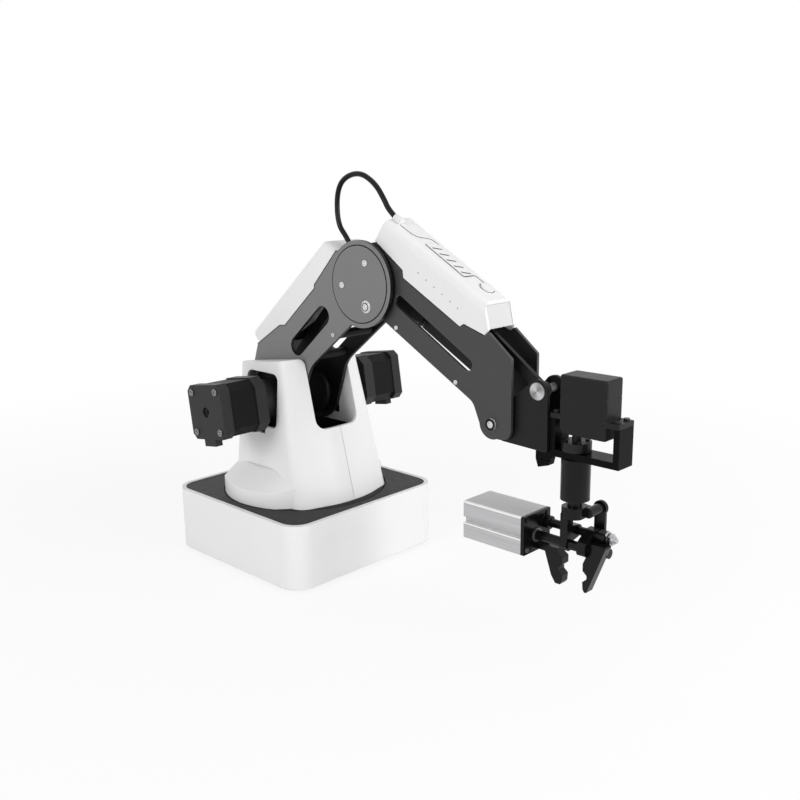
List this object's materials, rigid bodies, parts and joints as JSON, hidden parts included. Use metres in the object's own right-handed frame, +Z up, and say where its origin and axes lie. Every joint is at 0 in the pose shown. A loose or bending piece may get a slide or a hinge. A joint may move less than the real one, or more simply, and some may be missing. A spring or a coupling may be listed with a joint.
{
  "type": "desktop robot arm",
  "caption": "Desktop robot arm on a square base with a turning turret, shoulder motors, link-levelled rear arm and forearm, wrist servo and pneumatic jaw gripper.",
  "frame": {"origin": "centre of the base footprint, on the floor plane under the mounting pads", "axes": "+X forward along the arm's reach, +Y to the robot's left, +Z up"},
  "size_m": [0.3853, 0.1936, 0.3149],
  "materials": {
    "white_plastic": "satin white moulding",
    "dark_plate": "dark satin coat",
    "grey_anodised": "grey black anodised",
    "black_anodised": "black anodised",
    "black_plastic": "moulded black",
    "motor_black": "cast black motor",
    "silver": "brushed clear anodised",
    "steel": "bright",
    "rubber": "matt black",
    "board": "green laminate"
  },
  "bodies": {
    "base": {"base_housing": "white_plastic", "base_top_plate": "dark_plate", "base_bottom_plate": "silver", "rubber_feet": "rubber", "base_deck": "silver", "rear_port_panel": "black_plastic", "base_motor": "motor_black", "base_drive_belt": "rubber", "control_board": "board", "turntable_ring": "silver"},
    "power_button": {"power_button": "black_plastic"},
    "reset_key": {"reset_key": "black_plastic"},
    "motor_pulley": {"motor_pulley": "silver"},
    "turret": {"turret_frame": "dark_plate", "turret_shell_right": "white_plastic", "turret_shell_left": "white_plastic", "yaw_pulley": "silver", "motor_stacks": "motor_black", "motor_end_caps": "motor_black", "motor_gearboxes": "motor_black", "motor_screws": "steel"},
    "rear_arm": {"rear_arm_plate_right": "grey_anodised", "rear_arm_plate_left": "grey_anodised", "rear_arm_cover": "white_plastic", "rear_arm_standoffs": "steel", "rear_arm_screws": "steel", "elbow_bearings": "black_plastic", "shoulder_hub": "black_anodised"},
    "drive_crank": {"drive_crank": "black_anodised"},
    "crank_pin_bush": {"crank_pin_bush": "black_plastic"},
    "drive_link": {"drive_link": "black_anodised"},
    "rear_level_link": {"rear_level_link": "black_anodised"},
    "elbow": {"elbow_discs": "grey_anodised", "elbow_level_plate": "black_anodised", "elbow_disc_screws": "steel", "elbow_cable_gland": "black_plastic", "elbow_cable": "rubber"},
    "forearm": {"forearm_plate_left": "black_anodised", "forearm_plate_right": "black_anodised", "forearm_cover": "white_plastic", "forearm_end_cap": "white_plastic", "forearm_port_cover": "white_plastic", "forearm_cable_gland": "black_plastic", "forearm_standoffs": "steel", "forearm_screws": "steel"},
    "unlock_button": {"unlock_button": "white_plastic"},
    "forearm_level_link": {"forearm_level_link": "black_anodised"},
    "wrist": {"wrist_plates": "black_anodised", "tool_frame": "black_anodised", "servo_case": "black_plastic", "wrist_fasteners": "steel"},
    "tool": {"servo_horn": "black_plastic", "tool_sleeve": "black_anodised", "gripper_hanger": "black_anodised"},
    "gripper_cylinder": {"cylinder_body": "silver", "cylinder_front_cap": "black_plastic", "left_jaw": "black_anodised"},
    "gripper_rod": {"piston_rod": "steel", "right_jaw": "black_anodised"},
    "sync_lever": {"sync_lever": "black_anodised"}
  },
  "joints": [
    {"name": "base_yaw", "type": "hinge", "parent": "base", "child": "turret", "pos_m": [0, 0, 0.0541], "axis": [0, 0, 1], "range_deg": [-90, 90]},
    {"name": "motor_pulley_turn", "type": "hinge", "parent": "base", "child": "motor_pulley", "pos_m": [-0.046, 0, 0.048], "axis": [0, 0, 1], "range_deg": [-361, 361]},
    {"name": "rear_arm_pitch", "type": "hinge", "parent": "turret", "child": "rear_arm", "pos_m": [0, 0, 0.134], "axis": [0, 1, 0], "range_deg": [-43.8, 41.2]},
    {"name": "elbow_level", "type": "hinge", "parent": "rear_arm", "child": "elbow", "pos_m": [0.09344, 0, 0.23144], "axis": [0, 1, 0], "range_deg": [-41.4, 44]},
    {"name": "forearm_pitch", "type": "hinge", "parent": "elbow", "child": "forearm", "pos_m": [0.09344, 0, 0.23144], "axis": [0, 1, 0], "range_deg": [-45.6, 45], "deforming": ["elbow_cable"]},
    {"name": "drive_crank_turn", "type": "hinge", "parent": "turret", "child": "drive_crank", "pos_m": [0, 0, 0.134], "axis": [0, 1, 0], "range_deg": [-46, 46]},
    {"name": "crank_bush_turn", "type": "hinge", "parent": "drive_crank", "child": "crank_pin_bush", "pos_m": [-0.02114, 0.0085, 0.14914], "axis": [0, 1, 0], "range_deg": [-46, 46]},
    {"name": "drive_link_turn", "type": "hinge", "parent": "crank_pin_bush", "child": "drive_link", "pos_m": [-0.02114, 0.0085, 0.14914], "axis": [0, 1, 0], "range_deg": [-44, 42]},
    {"name": "rear_level_link_turn", "type": "hinge", "parent": "turret", "child": "rear_level_link", "pos_m": [-0.01838, 0.0039, 0.15238], "axis": [0, 1, 0], "range_deg": [-44, 42]},
    {"name": "forearm_level_link_turn", "type": "hinge", "parent": "elbow", "child": "forearm_level_link", "pos_m": [0.12694, -0.0039, 0.25814], "axis": [0, 1, 0], "range_deg": [-46, 46]},
    {"name": "wrist_level", "type": "hinge", "parent": "forearm", "child": "wrist", "pos_m": [0.21297, 0, 0.14587], "axis": [0, 1, 0], "range_deg": [-46, 46]},
    {"name": "wrist_roll", "type": "hinge", "parent": "wrist", "child": "tool", "pos_m": [0.27037, 0, 0.13387], "axis": [0, 0, 1], "range_deg": [-90, 90]},
    {"name": "jaw_slide", "type": "slide", "parent": "tool", "child": "gripper_rod", "axis": [1, 0, 0], "range_m": [-0.0076, 0.005]},
    {"name": "cylinder_slide", "type": "slide", "parent": "tool", "child": "gripper_cylinder", "axis": [1, 0, 0], "range_m": [-0.0051, 0.0077]},
    {"name": "sync_lever_turn", "type": "hinge", "parent": "tool", "child": "sync_lever", "pos_m": [0.27997, 0.0162, 0.09487], "axis": [0, 1, 0], "range_deg": [-17, 26]},
    {"name": "unlock_press", "type": "slide", "parent": "forearm", "child": "unlock_button", "axis": [-0.5009, 0, -0.8655], "range_m": [0, 0.0012], "stiffness_N_per_m": 800},
    {"name": "power_press", "type": "slide", "parent": "base", "child": "power_button", "axis": [1, 0, 0], "range_m": [0, 0.002], "stiffness_N_per_m": 1000},
    {"name": "reset_press", "type": "slide", "parent": "base", "child": "reset_key", "axis": [1, 0, 0], "range_m": [0, 0.001], "stiffness_N_per_m": 800}
  ],
  "couplings": [
    {"joint": "motor_pulley_turn", "follows": "base_yaw", "ratio": 4},
    {"joint": "elbow_level", "follows": "rear_arm_pitch", "ratio": -1},
    {"joint": "drive_link_turn", "follows": "rear_arm_pitch", "ratio": 1},
    {"joint": "rear_level_link_turn", "follows": "rear_arm_pitch", "ratio": 1},
    {"joint": "drive_crank_turn", "follows": "forearm_pitch", "ratio": 1},
    {"joint": "crank_bush_turn", "follows": "forearm_pitch", "ratio": -1},
    {"joint": "forearm_level_link_turn", "follows": "forearm_pitch", "ratio": 1},
    {"joint": "wrist_level", "follows": "forearm_pitch", "ratio": -1},
    {"joint": "cylinder_slide", "follows": "jaw_slide", "ratio": -1},
    {"joint": "sync_lever_turn", "follows": "jaw_slide", "rad_per_m": -57.471}
  ]
}
